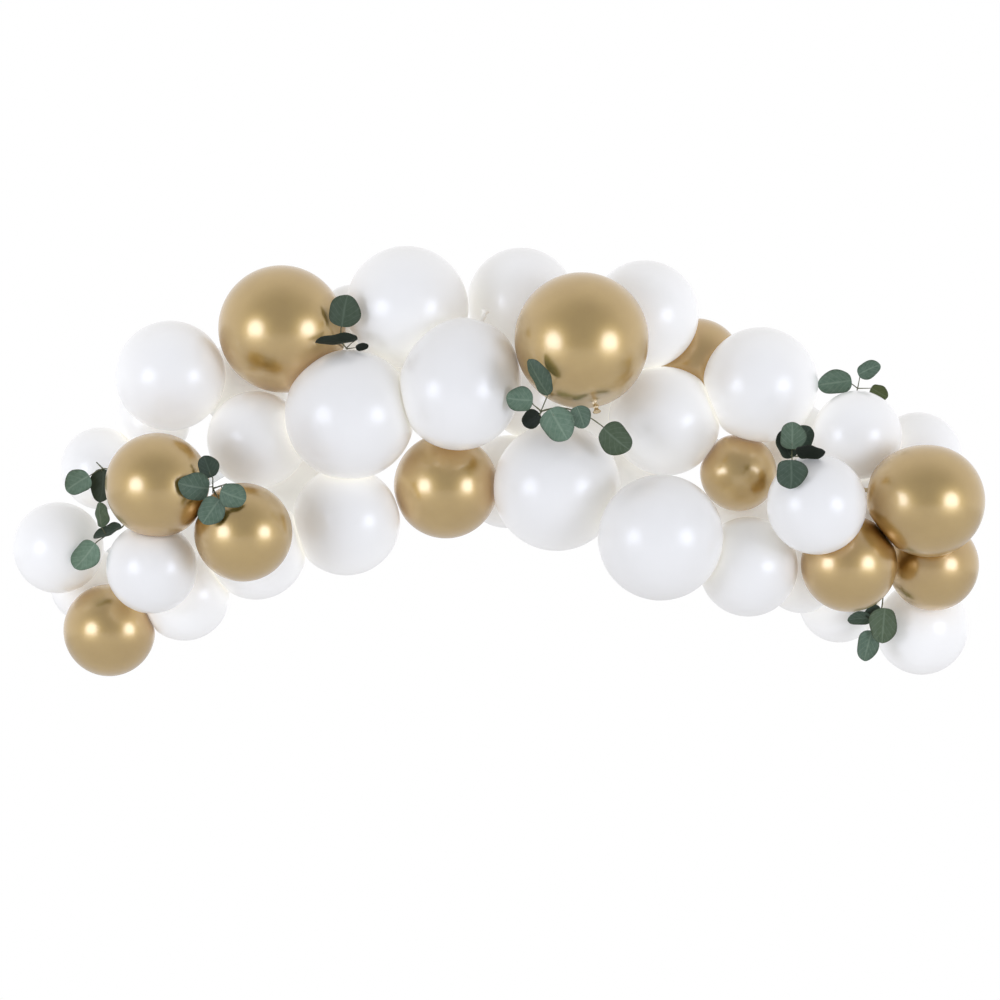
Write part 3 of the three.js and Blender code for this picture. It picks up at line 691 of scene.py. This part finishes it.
def balloon_skin(balloon, balloons):
    """Rows from the far pole to the mouth, turned about the axis. The dome is a ball whose neck half
    is drawn out, and the tail leans a little, more towards its end. Each point of the dome and
    shoulder is drawn in along its ray to the smooth minimum of its own distance and the distances
    at which the ray meets the contact faces. Pleats are two waves round the axis that fade away
    from the knot. Closeness falls off as an exponential of the gap to the nearest balloon, and
    depth rises in a smooth step from the front to the back."""
    radius, stretch, axis = balloon["radius"], balloon["stretch"], balloon["axis"]
    seen = balloon["centre"][1] < FRONT_ROW
    spokes, dome_rows, shoulder_rows = FINE if seen else COARSE
    angles = np.radians(np.linspace(0, DOME_END, dome_rows))
    longer = np.where(angles > math.pi / 2, stretch, 1)
    dome = np.stack([radius * np.sin(angles), -radius * longer * np.cos(angles)], axis=1)
    shoulder, tail = neck_profile(radius, stretch, shoulder_rows)
    profile = np.concatenate([dome, shoulder, tail])
    press = np.concatenate(
        [np.ones(dome_rows), 1 - ramp(np.linspace(0, 1, len(shoulder)), 0.3, 1), np.zeros(len(tail))]
    )[:, None]
    base = radius * stretch
    height = profile[:, 1:]
    nearness = ramp(height, base - PLEAT_REACH * radius, base + TAIL_PROFILE[1][1] * MM)
    turn = np.linspace(0, 2 * math.pi, spokes, endpoint=False)[None, :]
    phase = 1.7 * balloon["number"]
    waves = 0.6 * np.cos(9 * turn + phase) + 0.4 * np.cos(14 * turn - 2 * phase)
    out = profile[:, :1] + nearness * PLEAT_DEPTH * waves * (profile[:, :1] > 0)
    first, second = across(axis)
    rows = (
        out[..., None] * (np.cos(turn)[..., None] * first + np.sin(turn)[..., None] * second)
        + (height + 0 * turn)[..., None] * axis
    )
    lean = TAIL_LEAN * ramp(height, base, base + TAIL_LENGTH) * (height - base)
    rows += (lean + 0 * turn)[..., None] * first
    distance = np.linalg.norm(rows, axis=2)
    ray = rows / distance[..., None]
    normals, reaches = contact_faces(balloon, balloons)
    facing = np.maximum(ray @ normals.T, 1e-3)
    limits = np.concatenate([distance[..., None], reaches / facing], axis=2)
    least = limits.min(axis=2, keepdims=True)
    pressed = least[..., 0] - CREASE * np.log(np.exp((least - limits) / CREASE).sum(axis=2))
    distance = distance + press * (pressed - distance)
    rows = ray * distance[..., None]
    # Closeness: the mask of the painted shade and painted glow where balloons meet
    closeness = np.zeros(distance.shape)
    for other in balloons:
        if other is not balloon:
            gap = np.linalg.norm(rows + balloon["centre"] - other["centre"], axis=2) - other["radius"]
            closeness = np.maximum(closeness, np.exp(-np.maximum(gap, 0) / GAP_FADE))
    thickness = ramp(height, base - THICK_REACH * radius, base) + 0 * turn
    rows = rows + balloon["centre"]
    # Depth: the mask of the painted glow, which rises towards the wall
    depth = ramp(rows[..., 1], FRONT_DEPTH, BACK_DEPTH)
    return {
        "rows": rows,
        "values": {"closeness": closeness, "thickness": thickness, "depth": depth},
    }


# Sprigs

def obstacles(balloons):
    """The balls that a sprig keeps clear of, as middles and radii: each balloon, its drawn-out half,
    and its neck as a row of small balls."""
    middles, radii = [], []
    for balloon in balloons:
        centre, axis, radius = balloon["centre"], balloon["axis"], balloon["radius"]
        base = radius * balloon["stretch"]
        middles += [centre, centre + axis * (base - radius)]
        radii += [radius, radius]
        for offset in (KNOT_OFFSET, (KNOT_OFFSET + TAIL_LENGTH) / 2, TAIL_LENGTH):
            middles.append(centre + axis * (base + offset))
            radii.append(LIP_RADIUS)
    return np.array(middles), np.array(radii)


def clear_depth(spot, clearance, balls):
    """The depth at which a point lies clear of the balls: its own, or in front of each ball it is in."""
    middles, radii = balls
    reach = radii + clearance
    half = reach**2 - (spot[0] - middles[:, 0]) ** 2 - (spot[2] - middles[:, 2]) ** 2
    inside = half > 0
    half = np.sqrt(half[inside])
    depth = spot[1]
    spans = sorted(zip(middles[inside, 1] + half, middles[inside, 1] - half), reverse=True)
    for back, front in spans:
        if front < depth < back:
            depth = front
    return depth


def cleared(points, clearance, balls):
    """Points moved forward until each is clear of the balls."""
    points = np.array(points, float)
    points[:, 1] = [clear_depth(point, clearance, balls) for point in points]
    return points


def rod_skin(path, radii, tone):
    """A round rod along a path: rings square to it, carried on without twist, and closed at each
    end by a single point."""
    way = np.gradient(path, axis=0)
    way /= np.linalg.norm(way, axis=1, keepdims=True)
    side = across(way[0])[0]
    sides = []
    for direction in way:
        side = side - direction * (side @ direction)
        side = side / np.linalg.norm(side)
        sides.append(side)
    sides = np.array(sides)
    others = np.cross(way, sides)
    turn = np.linspace(0, 2 * math.pi, ROD_SPOKES, endpoint=False)[None, :, None]
    ring = np.cos(turn) * sides[:, None] + np.sin(turn) * others[:, None]
    rows = path[:, None] + ring * np.asarray(radii)[:, None, None]
    start = np.broadcast_to(path[0] - way[0] * radii[0] / 2, rows[:1].shape)
    end = np.broadcast_to(path[-1] + way[-1] * radii[-1] / 2, rows[:1].shape)
    rows = np.concatenate([start, rows, end])
    zero = np.zeros(rows.shape[:2])
    values = {"along": zero, "across": zero, "tone": zero + tone, "olive": zero}
    return {"rows": rows, "values": values, "slot": 1}


def leaf_matrix(tip, turn, nod):
    """How a leaf is turned: facing forward with its tip where it points, nodded, then rolled."""
    facing = turned((1, 0, 0), 90)
    return turned((0, -1, 0), tip) @ facing @ turned((0, -1, 0), nod) @ turned((1, 0, 0), turn)


def leaf_skin(length, width, matrix, middle, tone, olive, seed):
    """A leaf as a flat lens swept from its base to its tip. Its half width is a power of a half
    sine, fuller towards the base and a little uneven from side to side. The leaf bends sideways by
    a half sine, its tip is drawn out, its edges rise by the square of the distance from the midrib
    and wave along the leaf, and the midrib is a groove with the form of a bell curve."""
    u = np.linspace(0, 1, LEAF_ROWS)[:, None]
    turn = np.linspace(0, 2 * math.pi, LEAF_SPOKES, endpoint=False)[None, :]
    side, face = np.cos(turn), np.sin(turn)
    sway = LEAF_SWAY * math.sin(2.1 * seed)
    x = length / 2 * (-np.cos(math.pi * u) + LEAF_TIP * u**8)
    uneven = LEAF_UNEVEN * side * np.sin(3 * math.pi * u + seed)
    fuller = 1 + LEAF_FULL * np.cos(math.pi * u) + uneven
    half = width / 2 * np.sin(math.pi * u) ** LEAF_BLUNT * fuller
    y = half * side + sway * length * np.sin(math.pi * u)
    cup = LEAF_CUP * width * side**2 * np.sin(math.pi * u)
    arch = LEAF_ARCH * length * np.cos(math.pi * u) ** 2
    wave = LEAF_WAVE * width * side**2 * np.sin(5.5 * math.pi * u + seed) * np.sin(math.pi * u)
    rib = -RIB_DEPTH * np.exp(-((half * side / RIB_WIDTH) ** 2)) * np.sin(math.pi * u)
    z = LEAF_THICK / 2 * (1 + face * np.sin(math.pi * u) ** 0.3) + cup + arch + wave + rib
    local = np.stack([x + 0 * y, y, z], axis=2)
    zero = np.zeros(z.shape)
    values = {"along": u + zero, "across": side + zero, "tone": zero + tone, "olive": zero + olive}
    return {"rows": local @ matrix.T + middle, "values": values, "slot": 0}


def sprig_skins(sprig, balloons, balls):
    """A sprig's stems, each from the root or from the nearest joint of those before it, and its
    leaves, each at the depth where all of it is clear of the balloons, on its own stalk."""
    home = next(balloon["centre"] for balloon in balloons if balloon["node"] == sprig["on"])
    joints, skins = [], []
    for stem in sprig["stems"]:
        corners = home + np.array([[x, -y, z] for x, z, y in stem]) * MM
        length = np.linalg.norm(np.diff(corners, axis=0), axis=1).sum()
        count = max(6, round(length / STEM_STEP))
        path = cleared(smooth_line(corners, count), STEM_RADIUS + SPRIG_CLEARANCE, balls)
        if joints:
            near = min(joints, key=lambda p: math.hypot(p[0] - path[0][0], p[2] - path[0][2]))
            path[0] = near
        path = smooth_line(path, 3 * count)
        joints += list(path)
        radii = STEM_RADIUS * np.linspace(1, STEM_TAPER, len(path))
        radii = radii * (1 + STEM_SWELL * np.sin(np.linspace(0, 5 * math.pi, len(path))))
        skins.append(rod_skin(path, radii, sprig["stem_tone"]))
    for k, (x, z, length, width, tip, turn, nod, back, tone, olive) in enumerate(sprig["leaves"]):
        matrix = leaf_matrix(tip, turn, nod)
        length, width = length * MM, width * MM
        middle = np.array([home[0] + x * MM, 0, home[2] + z * MM])
        base = middle + matrix @ np.array([-length * STALK_REACH, 0, LEAF_THICK / 2])
        joint = min(joints, key=lambda p: math.hypot(p[0] - base[0], p[2] - base[2]))
        turns = np.linspace(0, 2 * math.pi, 16, endpoint=False)
        rim = np.stack([length / 2 * np.cos(turns), width / 2 * np.sin(turns), 0 * turns], axis=1)
        spots = np.concatenate([rim * share for share in (0, 0.5, 1)]) @ matrix.T
        depth = joint[1] + back * MM
        for _ in range(LEAF_PASSES):
            for spot in spots:
                place = middle + [spot[0], depth + spot[1], spot[2]]
                depth = min(depth, clear_depth(place, LEAF_CLEARANCE, balls) - spot[1])
        middle[1] = depth
        skins.append(leaf_skin(length, width, matrix, middle, tone, olive, k + 3 * x * MM))
        base[1] += depth
        end = middle + matrix @ np.array([-length * 0.2, 0, LEAF_THICK * 0.4])
        stalk = cleared(np.linspace(joint, base, 5), STALK_RADIUS + SPRIG_CLEARANCE, balls)
        stalk[-1] = base
        stalk = smooth_line(np.concatenate([stalk, [end]]), 18)
        radii = STALK_RADIUS * np.linspace(1, STALK_TAPER, len(stalk))
        skins.append(rod_skin(stalk, radii, sprig["stem_tone"] * STALK_SHADE))
    return skins


# Floor, light and camera

def lay_floor():
    """A plain pale floor below the garland, as one square."""
    reach = FLOOR_REACH
    mesh = bpy.data.meshes.new("floor")
    spots = [(-reach, -reach), (reach, -reach), (reach, reach), (-reach, reach)]
    mesh.from_pydata([(x, y, FLOOR_HEIGHT) for x, y in spots], [], [(0, 1, 2, 3)])
    mesh.materials.append(pale_floor())
    floor = bpy.data.objects.new("floor", mesh)
    bpy.context.scene.collection.objects.link(floor)


def hang_light(name, angle, size, power):
    """A round soft light, turned to the garland, at an angle about the vertical from the way to the
    camera. The camera doesn't see it, but the balloons mirror it."""
    light = bpy.data.lights.new(name, "AREA")
    light.shape = "DISK"
    light.size = size
    light.energy = power
    light.color = LIGHT_COLOUR
    lamp = bpy.data.objects.new(name, light)
    way = turned((0, 0, 1), angle) @ np.array([0, -1, 0])
    lamp.location = np.array(AIM) + BOX_DISTANCE * way
    lamp.rotation_mode = "QUATERNION"
    lamp.rotation_quaternion = Vector(-way).to_track_quat("-Z", "Y")
    lamp.visible_camera = False
    bpy.context.scene.collection.objects.link(lamp)


def light_room():
    """The room's own light by direction: a bright backdrop and a dim camera side, times a height
    tint that is brighter and warmer below and dimmer above. What the camera sees is plain white."""
    world = bpy.data.worlds.new("studio")
    bpy.context.scene.world = world
    world.use_nodes = True
    nodes, links = world.node_tree.nodes, world.node_tree.links
    place = nodes.new("ShaderNodeTexCoord")
    split = nodes.new("ShaderNodeSeparateXYZ")
    links.new(place.outputs["Generated"], split.inputs[0])
    behind = spread(nodes, links, split.outputs["Y"], 0, 1, -1)
    above = spread(nodes, links, split.outputs["Z"], 0, 1, -1)
    level = stops(nodes, links, behind, ROOM_DEPTH)
    height = stops(nodes, links, above, ROOM_HEIGHT)
    tint = nodes.new("ShaderNodeMix")
    tint.data_type = "RGBA"
    tint.blend_type = "MULTIPLY"
    tint.inputs["Factor"].default_value = 1
    links.new(level, tint.inputs["A"])
    links.new(height, tint.inputs["B"])
    room = nodes["Background"]
    links.new(tint.outputs["Result"], room.inputs["Color"])
    plain = nodes.new("ShaderNodeBackground")
    ray = nodes.new("ShaderNodeLightPath")
    either = nodes.new("ShaderNodeMixShader")
    links.new(ray.outputs["Is Camera Ray"], either.inputs["Fac"])
    links.new(room.outputs[0], either.inputs[1])
    links.new(plain.outputs[0], either.inputs[2])
    plain.inputs["Color"].default_value = (1, 1, 1, 1)
    links.new(either.outputs[0], nodes["World Output"].inputs["Surface"])


def place_camera():
    """A long lens straight in front, with the photograph's frame at the garland's middle depth."""
    lens = bpy.data.cameras.new("camera")
    lens.sensor_width = SENSOR_WIDTH
    lens.lens = SENSOR_WIDTH * CAMERA_DISTANCE / FRAME_WIDTH
    lens.clip_end = 3 * CAMERA_DISTANCE
    camera = bpy.data.objects.new("camera", lens)
    camera.location = np.array(AIM) - [0, CAMERA_DISTANCE, 0]
    camera.rotation_euler = (math.pi / 2, 0, 0)
    bpy.context.scene.collection.objects.link(camera)
    bpy.context.scene.camera = camera


# The whole garland

def build_garland():
    """The dressed garland: a skin for each balloon, a leafy spray for each sprig and the clear strip."""
    balloons = settle()
    latex = {"white": white_latex(), "gold": gold_satin()}
    for balloon in balloons:
        name = f"{balloon['colour']}_latex_skin_{balloon['number']:02d}"
        piece = join_skins(name, [balloon_skin(balloon, balloons)], [latex[balloon["colour"]]])
        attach(piece, "root")
        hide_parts(balloon["node"])
    balls = obstacles(balloons)
    green = [eucalyptus_leaf(), eucalyptus_stem()]
    for sprig in SPRIGS:
        piece = join_skins(sprig["name"] + "_leafy", sprig_skins(sprig, balloons, balls), green)
        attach(piece, "root")
        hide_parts(sprig["name"])
    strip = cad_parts["garland_strip"].data
    strip.materials.clear()
    strip.materials.append(clear_film())


place_camera()
build_garland()
lay_floor()
for side, angle in (("left", -BOX_ANGLE), ("right", BOX_ANGLE)):
    hang_light(side + "_soft_box", angle, BOX_SIZE, BOX_POWER)
    hang_light(side + "_lamp", angle, LAMP_SIZE, LAMP_POWER)
light_room()
bpy.context.scene.view_settings.view_transform = "Standard"
bpy.context.view_layer.update()
